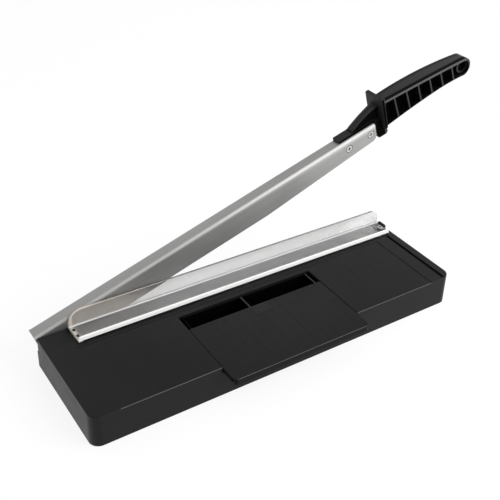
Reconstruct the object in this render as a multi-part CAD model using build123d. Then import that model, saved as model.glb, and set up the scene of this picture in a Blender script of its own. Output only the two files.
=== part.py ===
from build123d import *
import os
from math import atan2, degrees

os.makedirs("parts", exist_ok=True)

# Desk paper cutter with a storage bin in its base, in millimetres.
# Origin on the table under the middle of the deck, X along the cutting edge towards the handle,
# Y from the front face towards the blade, Z up.

# Base
base_length = 380.0
base_depth = 110.0
base_height = 31.8
foot_proud = 1.0
shell_wall = 2.5
deck_thickness = 3.5
front_corner_radius = 9.0
right_end_flare = 2.2
rear_corner_radius = 1.0
deck_edge_radius = 0.9
panel_end_margin = 24.5
panel_setback = 28.5
panel_sink = 0.3
ledge_depth = 1.5
ledge_height = 5.0
end_ear_thickness = 1.3
end_ear_height = 16.8

# Fits
slide_clearance = 0.3
seat_clearance = 0.1
running_clearance = 0.05

# Storage opening, lid and bin
opening_width = 145.0
opening_reach = 75.5
opening_corner_radius = 1.5
lid_thickness = 1.6
lid_drop = 0.4
lid_front_radius = 4.5
lip_height = 5.8
lip_thickness = 2.0
lid_open = 18.5
runner_thickness = 2.0
tongue_reach = 3.0
tongue_length = 22.0
runner_end_gap = 2.0
ridge_count = 5
ridge_pitch = 2.2
ridge_width = 0.9
ridge_length = 17.0
ridge_setback = 2.4
ridge_height = 0.25
bin_wall = 1.6
bin_side_gap = 3.7
divider_offset = -6.5
bin_flange_reach = 14.0
bin_flange_thickness = 2.0
bin_boss_front_inset = 12.0
bin_boss_rear_inset = 10.0

# Groove and rail at the right end
rail_width = 7.8
groove_width = 2.2
rail_sink = 2.5
rail_proud = 0.8
rail_front_gap = 1.8
rail_edge_radius = 0.5
rail_bed_gap = 1.0
groove_rear_gap = 2.0

# Bed knife and clear guard
bed_width = 18.0
bed_thickness = 2.0
bed_overhang = 0.2
bed_left_inset = 29.3
bed_right_inset = 4.0
bed_screw_count = 5
bed_screw_end_inset = 22.0
guard_left_inset = 28.3
guard_right_inset = 4.3
guard_reach = 23.6
guard_foot_thickness = 2.0
paper_gap = 0.8
guard_lip_height = 5.2
guard_lip_thickness = 2.0
guard_lip_end_radius = 3.5
guard_root_radius = 1.2
guard_wall_height = 18.6
guard_wall_thickness = 2.0
guard_rear_lip = 1.5
guard_left_radius = 13.0
guard_right_radius = 10.0
guard_pad_length = 8.0
hook_width = 2.4
hook_thickness = 1.8
hook_inset = 1.2
hook_rise = 0.6
hook_setbacks = (8.5, 17.0)
guard_screw_inset = 8.2
guard_screw_setback = 13.5
post_width = 3.3
post_length = 9.5
post_setback = 4.5
post_height = 4.8
post_round = 1.5
post_peg = 2.4
post_peg_length = 2.8

# Screws and feet
screw_shank = 3.0
screw_head = 6.0
screw_head_height = 1.6
bottom_screw_length = 12.0
bin_screw_length = 6.0
boss_diameter = 7.0
bin_boss_diameter = 6.0
plate_thickness = 2.0
plate_recess = 2.0
foot_diameter = 14.0
foot_sink = 0.8
foot_inset = 13.0
foot_chamfer = 0.4

# Pivot
pivot_from_end = 12.1
pivot_below_deck = 8.5
bolt_diameter = 5.0
bolt_head_flats = 8.0
bolt_head_height = 4.0
bolt_head_chamfer = 0.5
nut_height = 4.0
bolt_tail = 1.5
bush_flange = 13.0
bush_flange_thickness = 1.2
bush_body = 8.0
washer_diameter = 13.0
washer_thickness = 1.0
spring_washer_diameter = 12.0
spring_washer_thickness = 0.7
spring_washer_rise = 0.7
bracket_thickness = 3.0
bracket_length = 27.0
bracket_height = 19.5
bracket_screw_step = 12.0
bracket_screw_grip = 1.8

# Blade arm, drawn closed and then raised about the pivot
arm_rest_angle = 18.41
blade_gap = 0.3
blade_thickness = 2.0
blade_bend_radius = 3.0
blade_height = 26.2
blade_tail = 10.5
blade_rise_over_pivot = 13.5
blade_flange_depth = 12.0
blade_taper_length = 137.0
blade_tip_height = 17.8
blade_tip_radius = 6.0
blade_tail_radius = 3.0
bevel_height = 4.0
bevel_depth = 1.5

# Handle, measured along the arm from the near face of its lower lobe
hilt_clearance = 0.4
blade_end_gap = 1.3
lobe_length = 12.4
lobe_depth = 16.6
lobe_drop = 18.4
lobe_radius = 2.8
hilt_start = 6.2
hilt_thickness = 3.5
hilt_width = 24.8
hilt_offset = 1.1
hilt_top = 26.0
hilt_bottom = -8.5
hilt_radius = 1.0
hilt_edge_radius = 0.6
saddle_start = -44.0
saddle_setback = 2.9
saddle_thickness = 2.4
saddle_width = 10.2
saddle_corner_radius = 1.2
ramp_start = -26.0
ramp_start_top = 3.9
ramp_start_width = 9.0
ramp_middle = -13.0
ramp_middle_top = 11.6
ramp_middle_width = 8.8
ramp_end_top = 18.5
ramp_end_width = 10.8
ramp_roundness = 0.3
tang_start = -42.0
tang_thickness = 7.0
tang_drop = 15.5
tang_chamfer = 1.2
handle_screw_shank = 4.0
handle_screw_head = 8.0
handle_screw_places = ((-35.1, -9.8), (-7.8, -8.8))
cross_recess_length = 4.6
cross_recess_width = 0.9
cross_recess_depth = 1.1
handle_nut_flats = 7.0
handle_nut_height = 3.2
handle_screw_tail = 1.0
grip_root_width = 15.8
grip_swell_width = 19.4
grip_heel_width = 13.8
grip_swell_place = 68.0
grip_plan_end = 126.0
grip_root_top = (8.0, 20.2)
grip_crown = (60.0, 18.3)
grip_heel_top = (116.2, 12.0)
grip_heel_low = (113.0, -6.35)
grip_waist = (76.0, -2.95)
grip_root_low = (8.0, -9.7)
grip_edge_radius = 0.6
grip_skin = 2.4
grip_low_skin = 1.0
grip_web = 2.4
rib_count = 6
rib_first = 24.9
rib_level = 3.2
rib_pitch = 14.75
rib_thickness = 1.7
rib_lean = 6.5
grip_boss_place = (114.8, 2.8)
grip_boss_diameter = 14.4
grip_boss_hole = 10.6
grip_boss_sink = 2.5

# Levels and places worked out from the sizes above
half_length = base_length / 2
front_y = -base_depth / 2
rear_y = base_depth / 2
rim_z = foot_proud
deck_z = rim_z + base_height
deck_under_z = deck_z - deck_thickness
plate_low_z = rim_z + plate_recess
plate_top_z = plate_low_z + plate_thickness
screw_hole = screw_shank + 2 * seat_clearance
bolt_hole = bolt_diameter + 2 * running_clearance

opening_half = opening_width / 2
opening_rear_y = front_y + opening_reach
lid_top_z = deck_z - lid_drop
lid_low_z = lid_top_z - lid_thickness
lip_low_z = lid_top_z - lip_height
rail_floor_z = lip_low_z - slide_clearance
bin_half = opening_half - bin_side_gap
bin_front_y = front_y + shell_wall + slide_clearance
bin_rear_y = opening_rear_y + slide_clearance + bin_wall
bin_top_z = lid_low_z - slide_clearance
runner_near = bin_half + slide_clearance
runner_far = runner_near + runner_thickness
tongue_far = opening_half + tongue_reach
bin_boss_x = tongue_far + slide_clearance + bin_boss_diameter / 2
bin_flange_half = bin_half + bin_flange_reach
bin_boss_rows = (bin_front_y + bin_boss_front_inset, bin_rear_y - bin_boss_rear_inset)

rail_x = half_length - rail_width
bed_left = -half_length + bed_left_inset
bed_right = half_length - bed_right_inset
bed_front_y = rear_y - bed_width
bed_low_z = deck_z - bed_thickness
bed_screw_y = rear_y - bed_width / 2
rail_rear_y = bed_front_y - rail_bed_gap

guard_left = -half_length + guard_left_inset
guard_right = half_length - guard_right_inset
guard_front_y = rear_y - guard_reach
groove_rear_y = guard_front_y - groove_rear_gap
guard_wall_rear_y = rear_y - guard_rear_lip
guard_wall_front_y = guard_wall_rear_y - guard_wall_thickness
guard_low_z = deck_z + paper_gap
guard_foot_z = guard_low_z + guard_foot_thickness
guard_screw_x = half_length - guard_screw_inset
guard_screw_y = rear_y - guard_screw_setback
post_left = bed_right + seat_clearance
post_rear_y = rear_y - post_setback
post_front_y = post_rear_y - post_length

foot_places = [
    (side * (half_length - foot_inset), end * (base_depth / 2 - foot_inset))
    for side in (-1, 1)
    for end in (-1, 1)
]
boss_front_y = front_y + foot_inset
boss_rear_y = bed_front_y - boss_diameter / 2
boss_side_x = half_length - foot_inset - foot_diameter / 2 - boss_diameter
boss_places = [
    (-boss_side_x, boss_front_y),
    (boss_side_x, boss_front_y),
    (-boss_side_x, boss_rear_y),
    (-opening_half, boss_rear_y),
    (opening_half, boss_rear_y),
    (boss_side_x, boss_rear_y),
]

pivot_x = -half_length + pivot_from_end
pivot_z = deck_z - pivot_below_deck
wall_inner_y = rear_y - shell_wall
blade_front_y = rear_y + blade_gap
blade_rear_y = blade_front_y + blade_thickness
arm_left = pivot_x - blade_tail
arm_top_z = pivot_z + blade_rise_over_pivot
lobe_x = half_length + hilt_clearance
blade_right = lobe_x - blade_end_gap
grip_middle_y = blade_front_y + blade_flange_depth / 2
lobe_near_y = blade_front_y - blade_gap
washer_y = blade_rear_y + running_clearance
spring_y = washer_y + washer_thickness
bolt_head_y = spring_y + spring_washer_thickness + spring_washer_rise
bracket_front_y = wall_inner_y - bracket_thickness
bracket_top_z = deck_under_z - seat_clearance
bracket_left = -half_length + shell_wall + seat_clearance
bracket_screw_places = (
    (pivot_x + bracket_screw_step, pivot_z),
    (pivot_x, pivot_z - bracket_screw_step),
)


def block(x0, x1, y0, y1, z0, z1):
    """Box between two corners."""
    return Pos((x0 + x1) / 2, (y0 + y1) / 2, (z0 + z1) / 2) * Box(x1 - x0, y1 - y0, z1 - z0)


def upright_rod(x, y, z0, z1, diameter):
    """Round bar along Z."""
    return Pos(x, y, (z0 + z1) / 2) * Cylinder(diameter / 2, z1 - z0)


def cross_rod(x, z, y0, y1, diameter):
    """Round bar along Y."""
    return Pos(x, (y0 + y1) / 2, z) * Rot(90, 0, 0) * Cylinder(diameter / 2, y1 - y0)


def side_prism(outline, y0, y1):
    """An outline drawn in X and Z, made solid from y0 to y1."""
    return extrude(Plane.XZ.offset(-y1) * outline, y1 - y0, dir=(0, -1, 0))


def hex_bar(x, z, y0, y1, flats):
    """Hexagonal bar along Y with a flat on top."""
    return side_prism(Pos(x, z) * RegularPolygon(flats / 2, 6, major_radius=False), y0, y1)


def screw_from_below(x, y, seat_z, length):
    """Pan-head screw driven upwards, its head under seat_z."""
    head = upright_rod(x, y, seat_z - screw_head_height, seat_z, screw_head)
    shank = upright_rod(x, y, seat_z, seat_z + length, screw_shank)
    slot = block(x - screw_head / 3, x + screw_head / 3, y - 0.5, y + 0.5, seat_z - screw_head_height,
                 seat_z - screw_head_height / 2)
    return head + shank - slot


def on_arm(part):
    """Turn a piece drawn with the arm closed to the pose that the arm rests in."""
    return Pos(pivot_x, 0, pivot_z) * Rot(0, -arm_rest_angle, 0) * Pos(-pivot_x, 0, -pivot_z) * part


def save(name, part):
    export_step(part, f"parts/{name}.step")


def base_outline(inset, flare=0.0):
    """Plan of the base, drawn in by inset and longer at its right end by flare."""
    plan = Pos(flare / 2, 0) * Rectangle(base_length + flare - 2 * inset, base_depth - 2 * inset)
    plan = fillet(plan.vertices().sort_by(Axis.Y)[:2], front_corner_radius - inset)
    if rear_corner_radius > inset:
        plan = fillet(plan.vertices().sort_by(Axis.Y)[-2:], rear_corner_radius - inset)
    return plan


def base_prism(inset, z0, z1):
    return extrude(Pos(0, 0, z0) * base_outline(inset), z1 - z0)


def hook_block(setback, clearance):
    """Upright hook that holds the left end of the guard, or with a clearance its notch."""
    middle_y = rear_y - setback
    return block(guard_left + hook_inset - clearance, guard_left + hook_inset + hook_thickness + clearance,
                 middle_y - hook_width / 2 - clearance, middle_y + hook_width / 2 + clearance,
                 deck_z - bed_thickness, guard_foot_z + hook_rise)


def make_base_shell():
    foot_plan = Pos(0, 0, rim_z) * base_outline(0, right_end_flare)
    deck_plan = Pos(0, 0, deck_z) * base_outline(0)
    shell = loft([foot_plan.face(), deck_plan.face()], ruled=True)
    shell = fillet(shell.faces().sort_by(Axis.Z)[-1].edges(), deck_edge_radius)
    shell -= block(half_length, half_length + right_end_flare + 1, lobe_near_y - hilt_clearance, rear_y + 1,
                   rim_z - 1, deck_z + 1)
    shell -= block(-half_length + panel_end_margin, half_length - panel_end_margin, front_y - 1,
                   rear_y - panel_setback, deck_z - panel_sink, deck_z + 1)
    shell -= base_prism(shell_wall, rim_z, deck_under_z)
    shell += block(-half_length, half_length, rear_y - shell_wall, rear_y + ledge_depth,
                   rim_z, rim_z + ledge_height)
    shell += block(-half_length, -half_length + end_ear_thickness, rear_y - shell_wall, rear_y + ledge_depth,
                   rim_z, rim_z + end_ear_height)
    for x, y in boss_places:
        shell += upright_rod(x, y, plate_top_z, deck_under_z, boss_diameter)
    for x in (-bin_boss_x, bin_boss_x):
        for y in bin_boss_rows:
            shell += upright_rod(x, y, rail_floor_z, deck_under_z, bin_boss_diameter)
    opening = block(-opening_half, opening_half, front_y - 1, opening_rear_y, rail_floor_z, deck_z + 1)
    opening = fillet(opening.edges().filter_by(Axis.Z).group_by(Axis.Y)[-1], opening_corner_radius)
    shell -= opening
    shell -= block(rail_x, half_length + 1, front_y + rail_front_gap, rail_rear_y,
                   deck_z - rail_sink, deck_z + 1)
    shell -= block(rail_x - groove_width, rail_x + seat_clearance, front_y + rail_front_gap, groove_rear_y,
                   deck_z - rail_sink, deck_z + 1)
    shell -= block(bed_left, bed_right, bed_front_y, rear_y + 1, bed_low_z, deck_z + 1)
    for setback in hook_setbacks:
        shell += hook_block(setback, 0)
    for x, y in boss_places:
        shell -= upright_rod(x, y, plate_top_z, plate_top_z + bottom_screw_length, screw_hole)
    for x in (-bin_boss_x, bin_boss_x):
        for y in bin_boss_rows:
            shell -= upright_rod(x, y, rail_floor_z, rail_floor_z + bin_screw_length, screw_hole)
    for x in bed_screw_xs():
        shell -= upright_rod(x, bed_screw_y, deck_under_z - 1, deck_z, screw_hole)
    shell -= upright_rod(guard_screw_x, guard_screw_y, deck_under_z - 1, deck_z, screw_hole)
    post_x = post_left + post_width / 2
    post_y = (post_front_y + post_rear_y) / 2
    shell -= upright_rod(post_x, post_y, deck_z - post_peg_length - seat_clearance, deck_z,
                         post_peg + 2 * seat_clearance)
    shell -= cross_rod(pivot_x, pivot_z, wall_inner_y - 1, rear_y + 1, bush_body + 2 * seat_clearance)
    shell -= cross_rod(pivot_x, pivot_z, rear_y - bush_flange_thickness, rear_y + 1,
                       bush_flange + 2 * seat_clearance)
    for x, z in bracket_screw_places:
        shell -= cross_rod(x, z, wall_inner_y - 1, wall_inner_y + bracket_screw_grip, screw_hole)
    return shell


def bed_screw_xs():
    """Screw places along the bed knife, evenly spaced between its ends."""
    first = bed_left + bed_screw_end_inset
    step = (bed_right - bed_screw_end_inset - first) / (bed_screw_count - 1)
    return [first + step * index for index in range(bed_screw_count)]


def make_bottom_plate():
    plate = base_prism(shell_wall + seat_clearance, plate_low_z, plate_top_z)
    for x, y in boss_places:
        plate -= upright_rod(x, y, plate_low_z - 1, plate_top_z + 1, screw_hole)
    for x, y in foot_places:
        plate -= upright_rod(x, y, plate_low_z - 1, plate_low_z + foot_sink,
                             foot_diameter + 2 * seat_clearance)
    return plate


def make_rubber_foot(x, y):
    foot = upright_rod(x, y, 0, plate_low_z + foot_sink, foot_diameter)
    return chamfer(foot.edges().sort_by(Axis.Z)[0], foot_chamfer)


def make_storage_bin():
    tray = block(-bin_half, bin_half, bin_front_y, bin_rear_y, plate_top_z, deck_under_z)
    tray += block(-bin_half, bin_half, bin_front_y, opening_rear_y - slide_clearance,
                  deck_under_z, bin_top_z)
    floor_z = plate_top_z + bin_wall
    tray -= block(-bin_half + bin_wall, bin_half - bin_wall, bin_front_y + bin_wall, bin_rear_y - bin_wall,
                  floor_z, bin_top_z + 1)
    tray += block(divider_offset - bin_wall / 2, divider_offset + bin_wall / 2, bin_front_y + bin_wall / 2,
                  opening_rear_y - slide_clearance, floor_z, bin_top_z)
    tray += block(divider_offset - bin_wall / 2, divider_offset + bin_wall / 2, bin_front_y + bin_wall / 2,
                  bin_rear_y - bin_wall / 2, floor_z, deck_under_z)
    flange_low_z = rail_floor_z - bin_flange_thickness
    for side in (-1, 1):
        near, far = sorted((side * (bin_half - bin_wall / 2), side * bin_flange_half))
        tray += block(near, far, bin_front_y, bin_rear_y, flange_low_z, rail_floor_z)
        for y in bin_boss_rows:
            tray -= upright_rod(side * bin_boss_x, y, flange_low_z - 1, rail_floor_z + 1, screw_hole)
    return tray


def make_storage_lid():
    """Drawn shut, then slid forward to where the lid stands open."""
    edge = opening_half - slide_clearance
    rear = opening_rear_y - slide_clearance
    lid = block(-edge, edge, front_y, rear, lid_low_z, lid_top_z)
    lid += block(-edge, edge, front_y, front_y + lip_thickness, lip_low_z, lid_top_z)
    front_corners = lid.edges().filter_by(Axis.Z).group_by(Axis.Y)[0]
    lid = fillet(front_corners, lid_front_radius)
    rear_corners = lid.edges().filter_by(Axis.Z).group_by(Axis.Y)[-1]
    lid = fillet(rear_corners, opening_corner_radius)
    lid = fillet(lid.faces().sort_by(Axis.Z)[-1].edges().group_by(Axis.Y)[0], deck_edge_radius)
    for side in (-1, 1):
        near, far = sorted((side * runner_near, side * runner_far))
        lid += block(near, far, front_y + lid_front_radius, rear - runner_end_gap, lip_low_z, lid_low_z)
        near, far = sorted((side * (runner_near + seat_clearance), side * (tongue_far - slide_clearance)))
        lid += block(near, far, rear - runner_end_gap - tongue_length, rear - runner_end_gap,
                     lip_low_z, deck_under_z - slide_clearance)
    for index in range(ridge_count):
        y = rear - ridge_setback - ridge_pitch * index
        lid += block(-ridge_length / 2, ridge_length / 2, y - ridge_width / 2, y + ridge_width / 2,
                     lid_top_z, lid_top_z + ridge_height)
    return Pos(0, -lid_open, 0) * lid


def make_end_rail():
    rail = base_prism(0, deck_z - rail_sink, deck_z + rail_proud)
    rail &= block(rail_x, half_length + 1, front_y + rail_front_gap + seat_clearance,
                  rail_rear_y - seat_clearance, deck_z - rail_sink, deck_z + rail_proud)
    return fillet(rail.faces().sort_by(Axis.Z)[-1].edges(), rail_edge_radius)


def make_bed_knife():
    knife = block(bed_left + hook_inset + hook_thickness + seat_clearance, bed_right - seat_clearance,
                  bed_front_y + seat_clearance, rear_y + bed_overhang, bed_low_z, deck_z)
    for x in bed_screw_xs():
        knife -= upright_rod(x, bed_screw_y, bed_low_z - 1, deck_z - bed_thickness / 4, screw_hole)
    return knife - upright_rod(guard_screw_x, guard_screw_y, bed_low_z - 1, deck_z + 1, screw_hole)


def make_guard():
    foot = block(guard_left, guard_right, guard_front_y, rear_y, guard_low_z, guard_foot_z)
    for pad_left in (guard_left, guard_right - guard_pad_length):
        foot += block(pad_left, pad_left + guard_pad_length, bed_front_y + seat_clearance, rear_y,
                      deck_z + seat_clearance, guard_low_z)
    lip = block(guard_left, guard_right, guard_front_y, guard_front_y + guard_lip_thickness,
                guard_low_z, deck_z + guard_lip_height)
    lip = fillet(lip.edges().filter_by(Axis.Y).group_by(Axis.Z)[-1], guard_lip_end_radius)
    top_z = deck_z + guard_wall_height
    outline = Pos((guard_left + guard_right) / 2, (guard_low_z + top_z) / 2) * Rectangle(
        guard_right - guard_left, top_z - guard_low_z)
    top_corners = outline.vertices().group_by(Axis.Y)[-1].sort_by(Axis.X)
    outline = fillet(top_corners[:1], guard_left_radius)
    right_corner = outline.vertices().sort_by(Axis.X)[-2:].sort_by(Axis.Y)[-1]
    outline = fillet([right_corner], guard_right_radius)
    guard = foot + lip + side_prism(outline, guard_wall_front_y, guard_wall_rear_y)
    roots = guard.edges().filter_by(Axis.X)
    roots = roots.filter_by_position(Axis.Z, guard_foot_z - 0.1, guard_foot_z + 0.1)
    roots = roots.filter_by_position(Axis.Y, guard_wall_front_y - 0.1, guard_wall_front_y + 0.1)
    guard = fillet(roots, guard_root_radius)
    for setback in hook_setbacks:
        guard -= hook_block(setback, slide_clearance)
    return guard - upright_rod(guard_screw_x, guard_screw_y, deck_z - 1, guard_foot_z + 1, screw_hole)


def make_guard_screw():
    top_z = guard_foot_z + screw_head_height
    head = upright_rod(guard_screw_x, guard_screw_y, guard_foot_z, top_z, screw_head)
    head = fillet(head.edges().sort_by(Axis.Z)[-1], screw_head_height / 2)
    shank = upright_rod(guard_screw_x, guard_screw_y, deck_under_z, guard_foot_z, screw_shank)
    arm = cross_recess_length / 2 * screw_head / handle_screw_head
    half = cross_recess_width / 2
    recess = block(guard_screw_x - arm, guard_screw_x + arm, guard_screw_y - half, guard_screw_y + half,
                   top_z - cross_recess_depth, top_z + 1)
    recess += block(guard_screw_x - half, guard_screw_x + half, guard_screw_y - arm, guard_screw_y + arm,
                    top_z - cross_recess_depth, top_z + 1)
    return head + shank - recess


def make_guard_end_post():
    post = block(post_left, post_left + post_width, post_front_y, post_rear_y, deck_z, deck_z + post_height)
    post = fillet(post.faces().sort_by(Axis.Z)[-1].edges(), post_round)
    post_y = (post_front_y + post_rear_y) / 2
    return post + upright_rod(post_left + post_width / 2, post_y, deck_z - post_peg_length, deck_z, post_peg)


def make_pivot_bracket():
    bracket = block(bracket_left, bracket_left + bracket_length, bracket_front_y, wall_inner_y,
                    bracket_top_z - bracket_height, bracket_top_z)
    bracket -= cross_rod(pivot_x, pivot_z, bracket_front_y - 1, wall_inner_y + 1, bolt_hole)
    for x, z in bracket_screw_places:
        bracket -= cross_rod(x, z, bracket_front_y - 1, wall_inner_y + 1, screw_hole)
    return bracket


def make_bracket_screw(x, z):
    head = cross_rod(x, z, bracket_front_y - screw_head_height, bracket_front_y, screw_head)
    return head + cross_rod(x, z, bracket_front_y, wall_inner_y + bracket_screw_grip, screw_shank)


def make_pivot_bolt():
    head = hex_bar(pivot_x, pivot_z, bolt_head_y, bolt_head_y + bolt_head_height, bolt_head_flats)
    head = chamfer(head.faces().sort_by(Axis.Y)[-1].edges(), bolt_head_chamfer)
    tail_y = bracket_front_y - nut_height - bolt_tail
    return head + cross_rod(pivot_x, pivot_z, tail_y, bolt_head_y, bolt_diameter)


def make_pivot_bush():
    bush = cross_rod(pivot_x, pivot_z, wall_inner_y, rear_y - bush_flange_thickness, bush_body)
    bush += cross_rod(pivot_x, pivot_z, rear_y - bush_flange_thickness, blade_front_y - running_clearance,
                      bush_flange)
    return bush - cross_rod(pivot_x, pivot_z, wall_inner_y - 1, rear_y + 1, bolt_hole)


def make_pivot_washer():
    washer = cross_rod(pivot_x, pivot_z, washer_y, spring_y, washer_diameter)
    return washer - cross_rod(pivot_x, pivot_z, washer_y - 1, spring_y + 1, bolt_hole)


def make_pivot_spring_washer():
    """Coned washer that presses the blade against the bush."""
    inner = bolt_diameter / 2 + running_clearance
    outer = spring_washer_diameter / 2
    section = make_face(Polyline(
        (inner, spring_washer_rise), (outer, 0), (outer, spring_washer_thickness),
        (inner, spring_washer_rise + spring_washer_thickness), close=True))
    cone = revolve(section, Axis.Y)
    return Pos(pivot_x, spring_y, pivot_z) * cone


def make_pivot_nut():
    far_y = bracket_front_y - nut_height
    nut = hex_bar(pivot_x, pivot_z, far_y, bracket_front_y, bolt_head_flats)
    return nut - cross_rod(pivot_x, pivot_z, far_y - 1, bracket_front_y + 1, bolt_hole)


def make_blade_arm():
    """Bent steel: a flange on top and the blade below it, ground on its far side."""
    flange_far_y = blade_front_y + blade_flange_depth
    angle = block(arm_left, blade_right, blade_front_y, flange_far_y, arm_top_z - blade_height, arm_top_z)
    angle = fillet(angle.edges().filter_by(Axis.X).group_by(Axis.Z)[-1].sort_by(Axis.Y)[0],
                   blade_bend_radius)
    hollow = block(arm_left - 1, blade_right + 1, blade_rear_y, flange_far_y + 1,
                   arm_top_z - blade_height - 1, arm_top_z - blade_thickness)
    hollow = fillet(hollow.edges().filter_by(Axis.X).group_by(Axis.Z)[-1].sort_by(Axis.Y)[0],
                    blade_bend_radius - blade_thickness)
    low_z = arm_top_z - blade_height
    tip_z = arm_top_z - blade_tip_height
    outline = make_face(Polyline(
        (arm_left, arm_top_z), (blade_right, arm_top_z), (blade_right, tip_z),
        (blade_right - blade_taper_length, low_z), (arm_left, low_z), close=True))
    tip = outline.vertices().group_by(Axis.X)[-1].sort_by(Axis.Y)[0]
    outline = fillet([tip], blade_tip_radius)
    tail = outline.vertices().group_by(Axis.X)[0].sort_by(Axis.Y)[0]
    outline = fillet([tail], blade_tail_radius)
    arm = (angle - hollow) & side_prism(outline, blade_front_y - 1, flange_far_y + 1)
    bevel = make_face(Polyline(
        (blade_rear_y - bevel_depth, -1), (blade_rear_y - bevel_depth, 0), (blade_rear_y, bevel_height),
        (blade_rear_y + 1, bevel_height), (blade_rear_y + 1, -1), close=True))
    taper_angle = degrees(atan2(tip_z - low_z, blade_taper_length))
    taper_x = blade_right - blade_taper_length
    straight = extrude(Plane.YZ * bevel, taper_x - arm_left + 2)
    arm -= Pos(arm_left - 1, 0, low_z) * straight
    slope = extrude(Plane.YZ * bevel, blade_taper_length + 2)
    arm -= Pos(taper_x, 0, low_z) * Rot(0, -taper_angle, 0) * slope
    arm -= cross_rod(pivot_x, pivot_z, blade_front_y - 1, blade_rear_y + 1, bolt_hole)
    for along, rise in handle_screw_places:
        arm -= sunk_screw_shape(along, rise, seat_clearance, blade_rear_y + 1)
    return arm


def sunk_screw_shape(along, rise, clearance, end_y):
    """Countersunk head flush with the blade's face, and its shank to end_y."""
    x = lobe_x + along
    z = arm_top_z + rise
    head_radius = handle_screw_head / 2 + clearance
    shank_radius = handle_screw_shank / 2 + clearance
    head = Pos(x, blade_front_y + blade_thickness / 2, z) * Rot(90, 0, 0) * Cone(
        shank_radius, head_radius, blade_thickness)
    return head + cross_rod(x, z, blade_front_y + blade_thickness / 2, end_y, 2 * shank_radius)


def make_handle_screw(along, rise):
    end_y = blade_rear_y + tang_thickness + handle_nut_height + handle_screw_tail
    x = lobe_x + along
    z = arm_top_z + rise
    reach = cross_recess_length / 2
    half = cross_recess_width / 2
    floor_y = blade_front_y + cross_recess_depth
    recess = block(x - reach, x + reach, blade_front_y - 1, floor_y, z - half, z + half)
    recess += block(x - half, x + half, blade_front_y - 1, floor_y, z - reach, z + reach)
    return sunk_screw_shape(along, rise, 0, end_y) - recess


def make_handle_nut(along, rise):
    x = lobe_x + along
    z = arm_top_z + rise
    near_y = blade_rear_y + tang_thickness
    nut = hex_bar(x, z, near_y, near_y + handle_nut_height, handle_nut_flats)
    return nut - cross_rod(x, z, near_y - 1, near_y + handle_nut_height + 1,
                           handle_screw_shank + 2 * running_clearance)


def arm_point(along, rise):
    """Place on the closed arm, along it from the lobe and up from its top face."""
    return (lobe_x + along, arm_top_z + rise)


def grip_outline():
    """Side view of the grip: an arc along its top, one around its heel and two back below."""
    top = ThreePointArc(arm_point(*grip_root_top), arm_point(*grip_crown), arm_point(*grip_heel_top))
    heel = TangentArc(arm_point(*grip_heel_top), arm_point(*grip_heel_low), tangent=top % 1)
    finger = TangentArc(arm_point(*grip_heel_low), arm_point(*grip_waist), tangent=heel % 1)
    low = TangentArc(arm_point(*grip_waist), arm_point(*grip_root_low), tangent=finger % 1)
    root = Line(arm_point(*grip_root_low), arm_point(*grip_root_top))
    return make_face(Curve() + [top, heel, finger, low, root])


def grip_plan():
    """Plan of the grip: it swells in the middle for the palm and narrows to the heel."""
    stations = (
        (grip_root_top[0], grip_root_width / 2),
        (grip_swell_place, grip_swell_width / 2),
        (grip_plan_end, grip_heel_width / 2),
    )
    near = [(along, -half) for along, half in stations]
    far = list(reversed(stations))
    return make_face(Curve() + [
        ThreePointArc(*near), Line(near[-1], far[0]), ThreePointArc(*far), Line(far[-1], near[0]),
    ])


def make_grip():
    """Rounded skin over a middle web, with leaning ribs on both sides."""
    near_y = grip_middle_y - grip_swell_width / 2
    far_y = grip_middle_y + grip_swell_width / 2
    outline = grip_outline()
    plan = Pos(lobe_x, grip_middle_y, arm_top_z + grip_root_low[1] - 1) * grip_plan()
    body = side_prism(outline, near_y - 1, far_y + 1)
    body &= extrude(plan, grip_root_top[1] - grip_root_low[1] + 2)
    sides = body.faces().sort_by(Axis.Y)
    rims = sides[0].edges().sort_by(Axis.X)[1:] + sides[-1].edges().sort_by(Axis.X)[1:]
    body = fillet(rims, grip_edge_radius)
    hollow = offset(outline, -grip_skin)
    hollow += Pos(0, grip_low_skin - grip_skin) * hollow
    pockets = side_prism(hollow, near_y - 1, grip_middle_y - grip_web / 2)
    pockets += side_prism(hollow, grip_middle_y + grip_web / 2, far_y + 1)
    ribs = []
    for index in range(rib_count):
        x, z = arm_point(rib_first + rib_pitch * index, rib_level)
        rib = Pos(x, grip_middle_y, z) * Rot(0, -rib_lean, 0) * Box(rib_thickness, 2 * grip_swell_width, 60)
        ribs.append(rib)
    boss_x, boss_z = arm_point(*grip_boss_place)
    boss_half = grip_heel_width / 2 - grip_boss_sink
    boss_near = grip_middle_y - boss_half
    boss_far = grip_middle_y + boss_half
    boss = cross_rod(boss_x, boss_z, boss_near, boss_far, grip_boss_diameter)
    ribs.append(boss - cross_rod(boss_x, boss_z, boss_near, boss_far, grip_boss_hole))
    return body - (pockets - ribs)


def make_saddle():
    """Tongue on the flange that rises in a rounded ramp to the hilt."""
    near_y = blade_front_y + saddle_setback
    far_y = near_y + saddle_width
    tongue = block(lobe_x + saddle_start, lobe_x + hilt_start + 1, near_y, far_y, arm_top_z,
                   arm_top_z + saddle_thickness)
    tongue = fillet(tongue.edges().filter_by(Axis.Z).group_by(Axis.X)[0], saddle_corner_radius)
    sections = []
    low = saddle_thickness / 2
    for along, top, width in (
        (ramp_start, ramp_start_top, ramp_start_width),
        (ramp_middle, ramp_middle_top, ramp_middle_width),
        (hilt_start + hilt_edge_radius, ramp_end_top, ramp_end_width),
    ):
        tall = top - low
        middle = (lobe_x + along, (near_y + far_y) / 2, arm_top_z + low + tall / 2)
        plane = Plane(middle, x_dir=(0, 1, 0), z_dir=(1, 0, 0))
        sections.append((plane * RectangleRounded(width, tall, tall * ramp_roundness)).face())
    return tongue + loft(sections)


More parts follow.
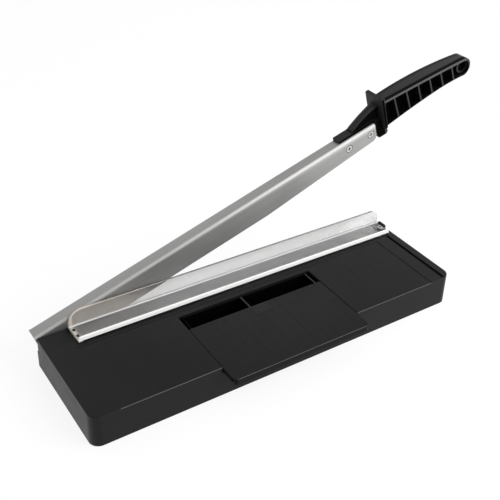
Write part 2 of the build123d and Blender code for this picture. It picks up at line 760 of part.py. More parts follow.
def make_handle():
    """Grip, hilt plate, lower lobe, saddle and the tang behind the blade, moulded in one piece."""
    hilt_y = grip_middle_y + hilt_offset
    hilt = block(lobe_x + hilt_start, lobe_x + hilt_start + hilt_thickness, hilt_y - hilt_width / 2,
                 hilt_y + hilt_width / 2, arm_top_z + hilt_bottom, arm_top_z + hilt_top)
    hilt = fillet(hilt.edges().filter_by(Axis.X), hilt_radius)
    hilt = fillet(hilt.faces().sort_by(Axis.X)[0].edges(), hilt_edge_radius)
    lobe = block(lobe_x, lobe_x + lobe_length, lobe_near_y, lobe_near_y + lobe_depth,
                 arm_top_z - lobe_drop, arm_top_z + saddle_thickness)
    lobe = fillet(lobe.edges().filter_by(Axis.Y).group_by(Axis.Z)[0], lobe_radius)
    tang = block(lobe_x + tang_start, lobe_x + lobe_length, blade_rear_y, blade_rear_y + tang_thickness,
                 arm_top_z - tang_drop, arm_top_z - blade_thickness)
    tang = chamfer(tang.edges().filter_by(Axis.X).group_by(Axis.Z)[-1].sort_by(Axis.Y)[0], tang_chamfer)
    tang = fillet(tang.edges().filter_by(Axis.Y).group_by(Axis.X)[0], tang_chamfer)
    handle = hilt + lobe + tang + make_saddle() + make_grip()
    for along, rise in handle_screw_places:
        x, z = arm_point(along, rise)
        handle -= cross_rod(x, z, blade_front_y, blade_rear_y + tang_thickness + 1,
                            handle_screw_shank + 2 * seat_clearance)
    return handle


save("base_shell", make_base_shell())
save("bottom_plate", make_bottom_plate())
for number, (foot_x, foot_y) in enumerate(foot_places, 1):
    save(f"rubber_foot_{number}", make_rubber_foot(foot_x, foot_y))
for number, (screw_x, screw_y) in enumerate(boss_places, 1):
    save(f"bottom_screw_{number}", screw_from_below(screw_x, screw_y, plate_low_z, bottom_screw_length))
save("storage_bin", make_storage_bin())
bin_screw_places = [(x, y) for x in (-bin_boss_x, bin_boss_x) for y in bin_boss_rows]
for number, (screw_x, screw_y) in enumerate(bin_screw_places, 1):
    seat_z = rail_floor_z - bin_flange_thickness
    save(f"bin_screw_{number}", screw_from_below(screw_x, screw_y, seat_z, bin_screw_length))
save("storage_lid", make_storage_lid())
save("end_rail", make_end_rail())
save("bed_knife", make_bed_knife())
bed_screw_length = deck_thickness - bed_thickness / 4 - seat_clearance
for number, screw_x in enumerate(bed_screw_xs(), 1):
    save(f"bed_screw_{number}", screw_from_below(screw_x, bed_screw_y, deck_under_z, bed_screw_length))
save("guard", make_guard())
save("guard_screw", make_guard_screw())
save("guard_end_post", make_guard_end_post())
save("pivot_bracket", make_pivot_bracket())
for number, (screw_x, screw_z) in enumerate(bracket_screw_places, 1):
    save(f"bracket_screw_{number}", make_bracket_screw(screw_x, screw_z))
save("pivot_bolt", make_pivot_bolt())
save("pivot_bush", make_pivot_bush())
save("pivot_washer", make_pivot_washer())
save("pivot_spring_washer", make_pivot_spring_washer())
save("pivot_nut", make_pivot_nut())
save("blade_arm", on_arm(make_blade_arm()))
save("handle", on_arm(make_handle()))
for number, place in enumerate(handle_screw_places, 1):
    save(f"handle_screw_{number}", on_arm(make_handle_screw(*place)))
    save(f"handle_nut_{number}", on_arm(make_handle_nut(*place)))
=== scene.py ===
from math import cos, radians, sin

import bpy
import numpy as np
from mathutils import Matrix, Vector


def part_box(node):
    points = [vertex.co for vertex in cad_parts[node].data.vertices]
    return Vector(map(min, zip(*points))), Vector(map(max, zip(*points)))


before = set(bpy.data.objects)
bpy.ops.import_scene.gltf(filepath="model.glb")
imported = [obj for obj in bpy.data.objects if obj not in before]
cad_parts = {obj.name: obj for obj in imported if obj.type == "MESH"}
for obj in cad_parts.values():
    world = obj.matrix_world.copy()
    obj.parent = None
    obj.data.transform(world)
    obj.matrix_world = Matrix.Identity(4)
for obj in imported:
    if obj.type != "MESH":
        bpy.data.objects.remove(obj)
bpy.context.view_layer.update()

# Bottom plate: the flat black moulding that closes the base from below, held by six screws.
# It has a coarse matte texture, because it is never seen in use.
plate_dark = (0.010, 0.010, 0.011, 1)
plate_light = (0.015, 0.015, 0.015, 1)


class Signal:
    """An output of a shader node. Sums and products on it add Math nodes, and node() adds any other."""

    def __init__(self, tree, socket=None):
        self.tree = tree
        self.socket = socket

    def node(self, kind, settings, sockets, output=0):
        """Add a node: its settings first, then a value or a link for each of its named sockets."""
        added = self.tree.nodes.new(kind)
        for name, value in settings.items():
            setattr(added, name, value)
        for name, value in sockets.items():
            if isinstance(value, Signal):
                self.tree.links.new(value.socket, added.inputs[name])
            else:
                added.inputs[name].default_value = value
        return Signal(self.tree, added.outputs[output] if added.outputs else None)

    def math(self, operation, *values):
        """A Math node on one or two values."""
        return self.node("ShaderNodeMath", {"operation": operation}, dict(enumerate(values)))

    def __add__(self, other):
        return self.math("ADD", self, other)

    def __radd__(self, other):
        return self.math("ADD", other, self)

    def __sub__(self, other):
        return self.math("SUBTRACT", self, other)

    def __rsub__(self, other):
        return self.math("SUBTRACT", other, self)

    def __mul__(self, other):
        return self.math("MULTIPLY", self, other)

    def __rmul__(self, other):
        return self.math("MULTIPLY", other, self)

    def __abs__(self):
        return self.math("ABSOLUTE", self)

    def larger(self, other):
        """The larger of two values."""
        return self.math("MAXIMUM", self, other)

    def axis(self, letter):
        """One coordinate of a place or a direction."""
        return self.node("ShaderNodeSeparateXYZ", {}, {"Vector": self}, letter)

    def axes(self):
        """The three coordinates of a place."""
        return self.axis("X"), self.axis("Y"), self.axis("Z")

    def drawn_out(self, rate):
        """A place whose X runs at this lower rate, so that a pattern on it is drawn out along X."""
        return self.node("ShaderNodeMapping", {}, {"Vector": self, "Scale": (rate, 1, 1)})

    def noise(self, scale, detail):
        """Smooth noise from 0 to 1 with this many bumps to the metre, and this many finer layers."""
        sockets = {"Vector": self, "Scale": scale, "Detail": detail}
        return self.node("ShaderNodeTexNoise", {"noise_dimensions": "3D"}, sockets)

    def rise(self, start, end):
        """Smooth step from 0 at start to 1 at end."""
        sockets = {"Value": self, "From Min": start, "From Max": end}
        return self.node("ShaderNodeMapRange", {"interpolation_type": "SMOOTHSTEP"}, sockets)

    def fall(self, start, end):
        """Smooth step from 1 at start to 0 at end."""
        return 1 - self.rise(start, end)

    def blend(self, low, high):
        """Colour between low and high, by this factor."""
        return self.node("ShaderNodeMix", {"data_type": "RGBA"}, {0: self, 6: low, 7: high}, 2)

    def bump(self, depth):
        """Surface normal of this height, whose full range is depth metres."""
        return self.node("ShaderNodeBump", {}, {"Strength": 1.0, "Distance": depth, "Height": self})


def new_finish(name):
    """A material with no shader yet, and the place on the piece that its pattern is worked out from."""
    material = bpy.data.materials.new(name)
    material.use_nodes = True
    material.node_tree.nodes.clear()
    return material, Signal(material.node_tree).node("ShaderNodeTexCoord", {}, {}, "Object")


def set_surface(place, sockets, second=None, share=0.0):
    """Join a Principled shader with these sockets to the material's output. Where second gives the
    sockets of another such shader, that one shows by its share, from 0 to 1."""
    shader = place.node("ShaderNodeBsdfPrincipled", {}, sockets)
    if second:
        other = place.node("ShaderNodeBsdfPrincipled", {}, second)
        shader = place.node("ShaderNodeMixShader", {}, {0: share, 1: shader, 2: other})
    place.node("ShaderNodeOutputMaterial", {}, {"Surface": shader})


def dress(material, *names):
    """Give CAD pieces a finish in place of their plain one."""
    for name in names:
        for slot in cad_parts[name].material_slots:
            slot.material = material


def spark_texture(place, grain):
    """Height of the fine pits that a spark-eroded mould leaves, grain metres across."""
    return 0.65 * place.noise(1 / grain, 3.0) + 0.35 * place.noise(0.3 / grain, 2.0)


plate_finish, place = new_finish("plate_black")
cloud = place.noise(35.0, 3.0)
set_surface(place, {
    "Base Color": cloud.blend(plate_dark, plate_light),
    "Roughness": 0.62 + 0.12 * cloud,
    "Specular IOR Level": 0.25,
    "Normal": spark_texture(place, grain=0.0006).bump(depth=0.00006),
})
dress(plate_finish, "bottom_plate")

# Feet: four soft black rubber discs, pressed into shallow sockets of the bottom plate.
# Their wearing faces have picked up a little dust.
rubber_black = (0.013, 0.013, 0.013, 1)
floor_dust = (0.075, 0.072, 0.066, 1)


def numbered(name, count):
    """Names of like pieces: name_1, name_2 and so on."""
    return [f"{name}_{number}" for number in range(1, count + 1)]


rubber_finish, place = new_finish("foot_rubber")
wearing_face = place.axis("Z").fall(0.0002, 0.0012)
dust = place.noise(700.0, 4.0).rise(0.55, 0.75) * wearing_face
set_surface(place, {
    "Base Color": dust.blend(rubber_black, floor_dust),
    "Roughness": 0.82 + 0.1 * dust,
    "Specular IOR Level": 0.3,
    "Normal": place.noise(2600.0, 2.0).bump(depth=0.00004),
})
dress(rubber_finish, *numbered("rubber_foot", 4))

# Plate screws: six small steel screws that hold the bottom plate to the shell.
# They are zinc-plated, slightly clouded, with fine scratches in no one direction.
zinc_dark = (0.42, 0.43, 0.44, 1)
zinc_light = (0.62, 0.62, 0.61, 1)
zinc_finish, place = new_finish("zinc_plate")
cloud = place.noise(420.0, 3.0)
set_surface(place, {
    "Base Color": cloud.blend(zinc_dark, zinc_light),
    "Metallic": 1.0,
    "Roughness": 0.24 + 0.18 * cloud,
    "Normal": place.noise(5200.0, 2.0).bump(depth=0.000006),
})
dress(zinc_finish, *numbered("bottom_screw", 6))

# Base shell: one injection-moulded black box with the deck as its top, where a wide panel is sunk a
# little. The mould left a fine spark texture and faint ruled lines. The panel's front edge carries a
# painted highlight, and the front face is painted a little darker as painted shade.
deck_dark = (0.0055, 0.0055, 0.0059, 1)
deck_light = (0.0085, 0.0085, 0.0087, 1)
deck_speck = (0.030, 0.030, 0.029, 1)
deck_highlight = (0.085, 0.085, 0.083, 1)
flat_black = (0.002, 0.002, 0.002, 1)
shell_front = -0.0550
panel_level = 0.0325
panel_reach = 0.1655
line_pitch = 0.01128
line_start = -0.1070
line_half_width = 0.00028
lines_fade_in = -0.13
lines_full = -0.03


def ruled_lines(place, level):
    """Up to 1 on thin broken lines along Y, a pitch apart, on a level face; 0 elsewhere."""
    along = place.axis("X")
    from_line = place.math("PINGPONG", along - line_start, line_pitch / 2)
    strength = along.rise(lines_fade_in, lines_full) * place.noise(160.0, 2.0).rise(0.25, 0.6)
    on_face = abs(place.axis("Z") - level).fall(0.00003, 0.00008)
    return from_line.fall(0.5 * line_half_width, 1.5 * line_half_width) * strength * on_face


def highlit_edge(place, front, level, reach, fade):
    """1 on the rounded edge between a front face and a level face, where a highlight is painted;
    it fades out up to its reach in X.
    """
    x, y, z = place.axes()
    on_edge = y.fall(front + 0.0003, front + 0.0006) * z.rise(level - 0.0005, level - 0.0003)
    return on_edge * abs(x).fall(reach - fade, reach)


def deck_shade(place, cloud_scale, speck_scale):
    """Slightly clouded black with a few pale specks."""
    shade = place.noise(cloud_scale, 4.0).blend(deck_dark, deck_light)
    return place.noise(speck_scale, 1.0).rise(0.76, 0.84).blend(shade, deck_speck)


def deck_gloss(place, smear_scale):
    """Roughness of the satin skin, with faint smears along X."""
    return 0.34 + 0.12 * place.drawn_out(0.25).noise(smear_scale, 3.0)


def black_moulding(place, shade, roughness, lines, dull_and_shade):
    """Satin black plastic with a spark texture and shallow lines. By the last value, from 0 to 1, it turns
    matte and nearly black: on the lines, and as painted shade.
    """
    set_surface(place, {
        "Base Color": shade,
        "Roughness": roughness,
        "Specular IOR Level": 0.165,
        "Normal": (spark_texture(place, grain=0.00045) - 1.4 * lines).bump(depth=0.000045),
    }, {
        "Base Color": flat_black,
        "Roughness": 0.8,
        "Specular IOR Level": 0.02,
    }, dull_and_shade)


shell_finish, place = new_finish("shell_black")
lines = ruled_lines(place, panel_level)
# The rounded front edge of the panel is painted lighter: a painted highlight.
edge_highlight = highlit_edge(place, shell_front, panel_level, panel_reach, fade=0.0010)
shade = edge_highlight.blend(deck_shade(place, cloud_scale=28.0, speck_scale=1500.0), deck_highlight)
# The front face is painted a little darker, as painted shade, and the ruled lines turn matte.
front_face = place.axis("Y").fall(shell_front + 0.0005, shell_front + 0.0065)
front_face = front_face * place.axis("Z").fall(panel_level - 0.0015, panel_level - 0.0005)
dull_and_shade = (0.4 * lines).larger(0.2 * front_face)
black_moulding(place, shade, deck_gloss(place, smear_scale=90.0), lines, dull_and_shade)
dress(shell_finish, "base_shell")

# Storage bin: a black tray with a divider, moulded with smoother walls, held by four small screws.
# It is painted darker than the other mouldings, as painted shade inside it, and the tops of its walls
# are painted lighter as a painted highlight.
bin_shaded_dark = (0.0004, 0.0004, 0.0004, 1)
bin_shaded_light = (0.0010, 0.0010, 0.0010, 1)
bin_highlight = (0.035, 0.035, 0.034, 1)
rim_level = 0.0303
rim_left = -0.065
bin_finish, place = new_finish("bin_black")
cloud = place.noise(45.0, 3.0)
# The tops of the walls are painted lighter, away from the left end: a painted highlight.
rim = place.axis("Z").rise(rim_level - 0.0001, rim_level + 0.0001)
rim = rim * place.axis("X").rise(rim_left, rim_left + 0.005)
set_surface(place, {
    "Base Color": rim.blend(cloud.blend(bin_shaded_dark, bin_shaded_light), bin_highlight),
    "Roughness": 0.55 + 0.15 * cloud,
    "Specular IOR Level": 0.03,
    "Normal": spark_texture(place, grain=0.0005).bump(depth=0.00003),
})
dress(bin_finish, "storage_bin")
dress(zinc_finish, *numbered("bin_screw", 4))

# Storage lid: a thin black plate with a front lip, sliding in the deck. Its ruled lines carry on
# those of the deck, and the ridges at its rear are rubbed smoother by thumbs, their tops painted lighter
# as a painted highlight. Its front edge carries a painted highlight, and its lip face and the lip's
# rounded corners are painted darker and matte, as painted shade.
ridge_highlight = (0.025, 0.025, 0.024, 1)
lid_low, lid_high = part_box("storage_lid")
lid_front = lid_low[1]
lid_level = 0.0324
lip_reach = 0.0722
lip_radius = 0.0045
lid_finish, place = new_finish("lid_black")
x, y, z = place.axes()
lines = ruled_lines(place, lid_level)
# The tops of the ridges are painted lighter: a painted highlight.
ridge_tops = z.rise(lid_level + 0.00003, lid_level + 0.0002)
shade = ridge_tops.blend(deck_shade(place, cloud_scale=32.0, speck_scale=1400.0), ridge_highlight)
edge_highlight = highlit_edge(place, lid_front, lid_level, lid_high[0], fade=0.012)
shade = edge_highlight.blend(shade, deck_highlight)
roughness = deck_gloss(place, smear_scale=110.0) - 0.10 * ridge_tops
# The lip face and the rounded corners of the lip are painted darker, as painted shade.
lip_face = y.fall(lid_front + 0.0001, lid_front + 0.0003)
lip_corner = abs(x).rise(lip_reach - lip_radius, lip_reach - 0.0020)
lip_corner = lip_corner * y.fall(lid_front + lip_radius, lid_front + 0.0060)
lip_corner = lip_corner * z.fall(lid_level - 0.0005, lid_level - 0.0002)
dull_and_shade = (0.4 * lines).larger((0.5 * lip_face).larger(0.7 * lip_corner))
black_moulding(place, shade, roughness, lines, dull_and_shade)
dress(lid_finish, "storage_lid")

# End rail: a narrow black strip let into the right end of the deck, outside the groove.
# It is moulded by itself, with a slightly finer texture than the shell.
rail_dark = (0.006, 0.006, 0.0063, 1)
rail_light = (0.009, 0.009, 0.009, 1)
rail_finish, place = new_finish("rail_black")
cloud = place.noise(60.0, 3.0)
set_surface(place, {
    "Base Color": cloud.blend(rail_dark, rail_light),
    "Roughness": 0.38 + 0.12 * cloud,
    "Specular IOR Level": 0.18,
    "Normal": spark_texture(place, grain=0.00040).bump(depth=0.000035),
})
dress(rail_finish, "end_rail")

# Bed knife: a flat strip of rolled steel let into the rear of the deck, ground along its length.
# Five plated screws hold it from below.
bed_shades = ((0.69, 0.69, 0.69, 1), (0.85, 0.85, 0.845, 1))


def ground_steel(name, turn, shades, roughness, grain, highlight=None, matte=None):
    """Steel with fine grinding lines along its length, which is turned by turn about Y. The last two
    arguments are functions of the turned place: 1 where a highlight is painted, brighter by a half, and
    where the steel is rougher."""
    finish, place = new_finish(name)
    turned = place.node("ShaderNodeMapping", {"vector_type": "TEXTURE"}, {
        "Vector": place, "Rotation": (0, turn, 0)})
    drawn = turned.drawn_out(0.012)
    hair = drawn.noise(1 / grain, 4.0)
    streak = drawn.noise(0.12 / grain, 3.0)
    cloud = place.noise(22.0, 3.0)
    tone = 0.45 * hair + 0.30 * streak + 0.25 * cloud
    shade = tone.rise(0.3, 0.7).blend(*shades)
    roughness = roughness + 0.08 * (streak - 0.5) + 0.08 * (cloud - 0.5)
    if highlight:
        shade = highlight(turned).blend(shade, tuple(min(1.0, 1.5 * value) for value in shades[1]))
    if matte:
        roughness = roughness + 0.25 * matte(turned)
    set_surface(place, {
        "Base Color": shade,
        "Metallic": 1.0,
        "Roughness": roughness,
        "Normal": hair.bump(depth=0.000005),
    })
    return finish


dress(ground_steel("bed_steel", 0.0, bed_shades, roughness=0.46, grain=0.00035), "bed_knife")
dress(zinc_finish, *numbered("bed_screw", 5))

# Guard: a clear extruded plastic angle that holds the paper. Its faces are polished, with faint lines
# from the die along them; its sawn ends and edges are frosted, and the wall turns milky towards its left
# end. The lip in front and the wall's root are painted milky white, as painted light gathered in the
# plastic. The frosted edges are painted grey along the top, cream towards the left end and white at the
# right end, as painted light and shade, and the wall is painted paler towards its right end, as painted
# light.
clear_tints = ((0.62, 0.62, 0.618, 1), (0.70, 0.70, 0.697, 1))
clear_painted_light = (0.82, 0.82, 0.817, 1)
sawn_shaded_grey = (0.25, 0.25, 0.245, 1)
sawn_lit_cream = (0.85, 0.78, 0.70, 1)
sawn_lit_white = (0.97, 0.97, 0.96, 1)
lip_painted_light = (0.98, 0.98, 0.975, 1)
plastic_ior = 1.49
guard_low, guard_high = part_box("guard")
guard_left, guard_right = guard_low[0], guard_high[0]
lip_thickness = 0.0020
wall_setback = 0.0035
wall_height = 0.0158
left_round = 0.0130
right_round = 0.0100
frost_depth = 0.00025
haze_fade = (-0.12, -0.04)
painted_light_fade = (0.130, 0.170)
lip_rear = guard_low[1] + lip_thickness
wall_front = guard_high[1] - wall_setback
foot_top = guard_high[2] - wall_height


def wall_edge(place, end, radius, side):
    """1 on the skin of the wall's outline at one end, whose corner is an arc of this radius. The side is
    -1 for the left end and 1 for the right one."""
    along = (side * place.axis("X") - (side * end - radius)).larger(0.0)
    height = (place.axis("Z") - (guard_high[2] - radius)).larger(0.0)
    reach = place.math("SQRT", along * along + height * height)
    return reach.rise(radius - frost_depth, radius - frost_depth / 2)


guard_finish, place = new_finish("guard_clear")
x, y, z = place.axes()
drawn = place.drawn_out(0.02)
sawn = place.noise(2500.0, 3.0)
in_wall = y.rise(wall_front - 0.0001, wall_front)
in_lip = y.fall(lip_rear - 0.0001, lip_rear + 0.0001) * z.rise(foot_top - 0.0012, foot_top - 0.0008)
at_root = y.rise(wall_front - 0.0007, wall_front - 0.0005) * z.fall(foot_top + 0.0008, foot_top + 0.0010)
front_half = y.fall(wall_front + 0.0008, wall_front + 0.0011)
at_end = x.fall(guard_left + 0.0025, guard_left + 0.0045)
by_end = x.fall(guard_left + 0.010, guard_left + 0.050)
to_left = x.fall(*haze_fade)
# The wall is painted paler towards its right end: painted light.
painted_light_right = in_wall * x.rise(*painted_light_fade)
to_right = x.rise(guard_right - right_round, guard_right - 0.5 * right_round)
edge = wall_edge(place, guard_left, left_round, -1).larger(wall_edge(place, guard_right, right_round, 1))
# The frosted edges are painted cream towards the left end, grey along the rest of the top and white at the
# right end: painted light and shade.
warm_light = by_end.larger(to_left * (1 - 0.4 * edge))
sawn_light_and_shade = to_right.blend(warm_light.blend(sawn_shaded_grey, sawn_lit_cream), sawn_lit_white)
frosted_edge = (0.65 + 0.30 * to_right) * by_end.larger(front_half) * edge
# The lip and the wall's root are painted milky white: painted light.
frost_and_painted_light = (0.97 * in_lip).larger(frosted_edge.larger(0.6 * at_root))
hazy = (0.22 * to_left * in_wall).larger(0.5 * at_end)
set_surface(place, {
    "Base Color": painted_light_right.blend(drawn.noise(900.0, 3.0).blend(*clear_tints), clear_painted_light),
    "Roughness": 0.03 + 0.05 * drawn.noise(600.0, 3.0),
    "IOR": plastic_ior,
    "Transmission Weight": 1.0,
    "Normal": drawn.noise(250.0, 2.0).bump(depth=0.000003),
}, {
    "Base Color": in_lip.larger(at_root).blend(sawn_light_and_shade, lip_painted_light),
    "Roughness": 0.30 + 0.25 * sawn,
    "IOR": plastic_ior,
    "Normal": sawn.bump(depth=0.00001),
}, frost_and_painted_light.larger(hazy))
dress(guard_finish, "guard")

# Guard screw: a plated pan-head screw with a cross recess, which holds the guard's right end.
# It is turned, so its head shows fine rings, a tenth of a millimetre apart; its rim and the inside of its
# recess are painted dark, as painted shade.
head_shades = ((0.55, 0.55, 0.55, 1), (0.74, 0.74, 0.73, 1))
head_rim_shadow = (0.40, 0.40, 0.40, 1)
recess_shadow = (0.06, 0.06, 0.06, 1)
ring_radians = 60000.0


def turned_head(name, node, along, rim_shade):
    """Plated steel with rings about a screw's own axis, Y or Z. Its rim is painted dark as painted shade,
    and so is its middle, apart from the end face at its lowest Y or its highest Z."""
    low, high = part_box(node)
    rim_radius = (high[0] - low[0]) / 2
    finish, place = new_finish(name)
    centred = place.node("ShaderNodeMapping", {"vector_type": "TEXTURE"}, {
        "Vector": place, "Location": tuple((low + high) / 2)})
    keep = (1, 0, 1) if along == "Y" else (1, 1, 0)
    flat = centred.node("ShaderNodeVectorMath", {"operation": "MULTIPLY"}, {0: centred, 1: keep})
    radius = flat.node("ShaderNodeVectorMath", {"operation": "LENGTH"}, {0: flat}, "Value")
    rings = place.math("SINE", ring_radians * radius + 4.0 * place.noise(500.0, 2.0))
    cloud = place.noise(420.0, 3.0)
    depth = place.axis("Y") - low[1] if along == "Y" else high[2] - place.axis("Z")
    recess = depth.rise(0.0002, 0.0005) * radius.fall(0.50 * rim_radius, 0.60 * rim_radius)
    rim = radius.rise(0.82 * rim_radius, 0.88 * rim_radius)
    set_surface(place, {
        "Base Color": recess.blend(rim.blend(cloud.blend(*head_shades), rim_shade), recess_shadow),
        "Metallic": 1.0,
        "Roughness": 0.22 + 0.12 * cloud + 0.02 * rings,
        "Normal": (0.5 + 0.5 * rings).bump(depth=0.000006),
    })
    return finish


dress(turned_head("guard_screw_plate", "guard_screw", "Z", head_rim_shadow), "guard_screw")

# Guard end post: a small rounded black peg, pressed into the deck beside the guard's right end.
# It is moulded in the same plastic as the end rail.
dress(rail_finish, "guard_end_post")

# Pivot: a plated bolt on which the arm turns, in a brass bush through the rear wall of the base.
# A bracket screwed to the wall takes the load, and a washer, a spring washer and a nut hold the bolt,
# whose turned head is painted darker at its rim and in its middle, as painted shade, though the head has
# no recess.
brass_dark = (0.52, 0.36, 0.12, 1)
brass_light = (0.66, 0.48, 0.19, 1)
brass_finish, place = new_finish("bush_brass")
cloud = place.noise(260.0, 3.0)
set_surface(place, {
    "Base Color": cloud.blend(brass_dark, brass_light),
    "Metallic": 1.0,
    "Roughness": 0.30 + 0.14 * cloud,
    "Normal": place.noise(4200.0, 2.0).bump(depth=0.000006),
})
dress(brass_finish, "pivot_bush")
dress(zinc_finish, "pivot_bracket", "pivot_washer", "pivot_spring_washer", "pivot_nut")
dress(zinc_finish, *numbered("bracket_screw", 2))
dress(turned_head("pivot_bolt_plate", "pivot_bolt", "Y", head_rim_shadow), "pivot_bolt")

# Blade arm: stainless sheet bent to an angle, brushed along its length and ground at the edge.
# A strip on either side of the bend is painted brighter as a painted highlight, weaker towards the
# pivot, and the bend's outer skin is matte.
blade_shades = ((0.36, 0.357, 0.353, 1), (0.445, 0.442, 0.437, 1))
arm_angle = radians(18.41)
arm_top = 0.0927
blade_front = 0.0553


def bend_highlight(turned):
    """A painted highlight: up to 1 at the bend, falling to 0 some millimetres from it, and weaker
    towards the pivot.
    """
    x, y, z = turned.axes()
    strip = z.rise(arm_top - 0.0070, arm_top - 0.0005) * y.fall(blade_front + 0.0010, blade_front + 0.0030)
    return strip * (0.3 + 0.7 * x.rise(-0.08, 0.14))


def on_bend(turned):
    """1 on the outer skin of the bend, where the sheet was stretched, and 0 on the flat faces."""
    high = turned.axis("Z").rise(arm_top - 0.0035, arm_top - 0.0015)
    return high * turned.axis("Y").fall(blade_front + 0.0015, blade_front + 0.0035)


blade_finish = ground_steel(
    "blade_steel", -arm_angle, blade_shades, roughness=0.50, grain=0.00035,
    highlight=bend_highlight, matte=on_bend)
dress(blade_finish, "blade_arm")

# Handle: one black moulding, smoother than the base, with ribs on a middle web under its top skin.
# The side faces of the grip's rims are painted lighter as a painted highlight, and its ribs a little. The
# rounded edges of its top, the floors of its pockets and the sides of its root are painted darker and
# matte, as painted shade.
handle_dark = (0.0030, 0.0030, 0.0030, 1)
handle_light = (0.0050, 0.0050, 0.0050, 1)
handle_highlight = (0.07, 0.07, 0.068, 1)
shaded_dark = (0.0012, 0.0012, 0.0012, 1)
shaded_light = (0.0022, 0.0022, 0.0022, 1)
handle_middle = 0.0613
grip_start = 0.2165
skin_depth = 0.0024
web_half = 0.0020
rim_inside = 0.0050
# Along the arm, the grip's top line and its half width are parabolas about a crown and a swell.
crown_place = 0.2142
crown_level = 0.11295
crown_curve = 0.693
swell_place = 0.2670
swell_half = 0.00974
swell_curve = 0.68


def parabola(along, middle, peak, curve):
    """Its peak, less curve times the square of the distance from its middle, along the arm."""
    distance = along - middle
    return peak - curve * (distance * distance)


handle_finish, place = new_finish("handle_black")
x, y, z = place.axes()
along = cos(arm_angle) * x + sin(arm_angle) * z
height = cos(arm_angle) * z - sin(arm_angle) * x
off_middle = abs(y - handle_middle)
below_top = parabola(along, crown_place, crown_level, crown_curve) - height
from_side = parabola(along, swell_place, swell_half, swell_curve) - off_middle
faced = place.node("ShaderNodeNewGeometry", {}, {}, "True Normal")
side = abs(faced.axis("Y")).rise(0.80, 0.97)
on_grip = along.rise(grip_start - 0.0002, grip_start + 0.0002)
on_rim = off_middle.rise(rim_inside, rim_inside + 0.0010)
on_rib = below_top.rise(skin_depth, skin_depth + 0.0006)
on_web = off_middle.fall(web_half, web_half + 0.0010)
on_top = (1 - side) * below_top.fall(0.0008, 0.0020) * on_grip
far_half = y.rise(handle_middle - 0.001, handle_middle + 0.001)
rounding = from_side.rise(0.0001, 0.0010) * from_side.fall(0.0035, 0.0060) * on_top
# The side faces of the grip's rims are painted lighter, and the ribs a little: a painted highlight.
edge_highlight = side * on_rim * on_grip * (0.6 + 0.4 * place.noise(300.0, 2.0)) * (1 - 0.9 * on_rib)
# The sides of the root, the pocket floors and the rounded edges of the top turn matte and darker: painted
# shade.
painted_shade = (side * (1 - on_grip).larger(on_web)).larger((0.9 - 0.5 * far_half) * rounding)
cloud = place.noise(55.0, 3.0)
texture = (0.6 * place.noise(1600.0, 2.0) + 0.4 * place.noise(420.0, 2.0)).bump(depth=0.00002)
set_surface(place, {
    "Base Color": edge_highlight.blend(cloud.blend(handle_dark, handle_light), handle_highlight),
    "Roughness": 0.58 + 0.12 * cloud - 0.30 * on_grip,
    "Specular IOR Level": 0.4,
    "Normal": texture,
}, {
    "Base Color": cloud.blend(shaded_dark, shaded_light),
    "Roughness": 0.7 + 0.2 * cloud,
    "Specular IOR Level": 0.02,
    "Normal": texture,
}, painted_shade)
dress(handle_finish, "handle")

# Handle screws: two countersunk plated screws through the blade, with nuts behind the handle's tang.
# Their heads lie flush with the blade, each with a painted shadow line around it and painted shade in
# its middle, below the face.
head_gap_shadow = (0.05, 0.05, 0.05, 1)
for screw in numbered("handle_screw", 2):
    dress(turned_head(f"{screw}_plate", screw, "Y", head_gap_shadow), screw)
dress(zinc_finish, *numbered("handle_nut", 2))

# Stage: a plain white floor and backdrop under a dimmer ceiling, a large soft box in front to the
# right, a small weak one behind, and the camera of the photograph.
white = (1, 1, 1, 1)
floor_grey = (0.14, 0.14, 0.14, 1)
floor_glow = 0.855
floor_size = 8.0
floor_level = -0.0002
ceiling_loss = 0.43
fill_light = 0.75


def flat_sheet(name, size, level, count=9):
    """A level square grid of count by count points: x and y run evenly over the sheet, z is its level."""
    u, v = np.meshgrid(np.linspace(-0.5, 0.5, count), np.linspace(-0.5, 0.5, count))
    points = np.stack([u * size, v * size, np.full_like(u, level)], axis=-1).reshape(-1, 3)
    index = np.arange(count * count).reshape(count, count)
    faces = np.stack([index[:-1, :-1], index[:-1, 1:], index[1:, 1:], index[1:, :-1]], axis=-1)
    mesh = bpy.data.meshes.new(name)
    mesh.from_pydata(points.tolist(), [], faces.reshape(-1, 4).tolist())
    sheet = bpy.data.objects.new(name, mesh)
    bpy.context.scene.collection.objects.link(sheet)
    return sheet


floor = flat_sheet("floor", floor_size, floor_level)
floor_finish, place = new_finish("floor_white")
paper = place.node("ShaderNodeBsdfDiffuse", {}, {"Color": floor_grey})
glow = place.node("ShaderNodeEmission", {}, {"Color": white, "Strength": floor_glow})
both = place.node("ShaderNodeAddShader", {}, {0: paper, 1: glow})
place.node("ShaderNodeOutputMaterial", {}, {"Surface": both})
floor.data.materials.append(floor_finish)


def is_ray(tree, kind):
    """1 for rays of this kind, and 0 for the rest."""
    return Signal(tree).node("ShaderNodeLightPath", {}, {}, f"Is {kind} Ray")


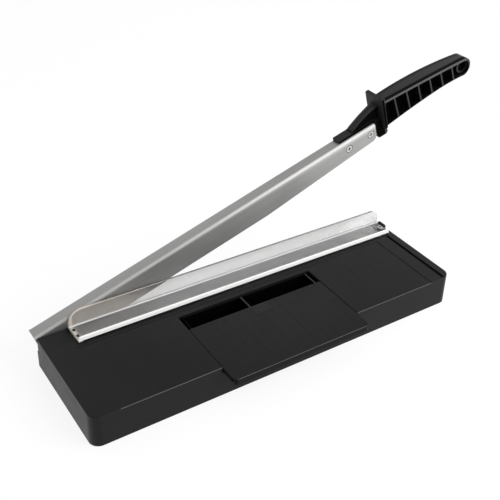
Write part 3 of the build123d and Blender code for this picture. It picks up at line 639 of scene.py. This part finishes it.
world = bpy.data.worlds.new("studio")
world.use_nodes = True
world.node_tree.nodes.clear()
seen = is_ray(world.node_tree, "Camera")
mirrored = is_ray(world.node_tree, "Glossy").larger(is_ray(world.node_tree, "Transmission"))
direction = seen.node("ShaderNodeTexCoord", {}, {}, "Generated")
backdrop = 1 - ceiling_loss * direction.axis("Z").rise(0.1, 0.8)
fill = fill_light * (1 - seen.larger(mirrored))
sky = seen.node("ShaderNodeBackground", {}, {
    "Color": white, "Strength": seen.larger(mirrored * backdrop) + fill})
seen.node("ShaderNodeOutputWorld", {}, {"Surface": sky})
bpy.context.scene.world = world


def soft_box(name, place, aim, length, width, watts):
    """A rectangular soft lamp at place, turned to face aim."""
    lamp = bpy.data.lights.new(name, "AREA")
    lamp.shape = "RECTANGLE"
    lamp.size = length
    lamp.size_y = width
    lamp.energy = watts
    holder = bpy.data.objects.new(name, lamp)
    holder.location = place
    holder.rotation_euler = (Vector(aim) - Vector(place)).to_track_quat("-Z", "Y").to_euler()
    bpy.context.scene.collection.objects.link(holder)


soft_box("front_lamp", (0.90, -1.05, 1.05), aim=(0.60, 0.0, 0.05), length=1.4, width=1.2, watts=25.0)
soft_box("back_lamp", (0.0, 1.15, 1.20), aim=(0.0, 0.0, 0.10), length=0.8, width=0.5, watts=0.5)

camera_place = Vector((-0.35388, -0.47904, 0.49966))
camera_azimuth = radians(-35.434)
camera_elevation = radians(34.359)
camera_roll = radians(3.538)
focal_pixels = 826.8
picture_pixels = 500
lens = bpy.data.cameras.new("photo_camera")
lens.sensor_width = 36.0
lens.lens = focal_pixels / picture_pixels * lens.sensor_width
lens.clip_start = 0.01
back = Vector((sin(camera_azimuth) * cos(camera_elevation), -cos(camera_azimuth) * cos(camera_elevation),
               sin(camera_elevation)))
level = Vector((cos(camera_azimuth), sin(camera_azimuth), 0))
upright = back.cross(level)
across = cos(camera_roll) * level + sin(camera_roll) * upright
up = cos(camera_roll) * upright - sin(camera_roll) * level
camera = bpy.data.objects.new("photo_camera", lens)
camera.matrix_world = Matrix.Translation(camera_place) @ Matrix((across, up, back)).transposed().to_4x4()
bpy.context.scene.collection.objects.link(camera)
bpy.context.scene.camera = camera
bpy.context.scene.view_settings.view_transform = "Standard"
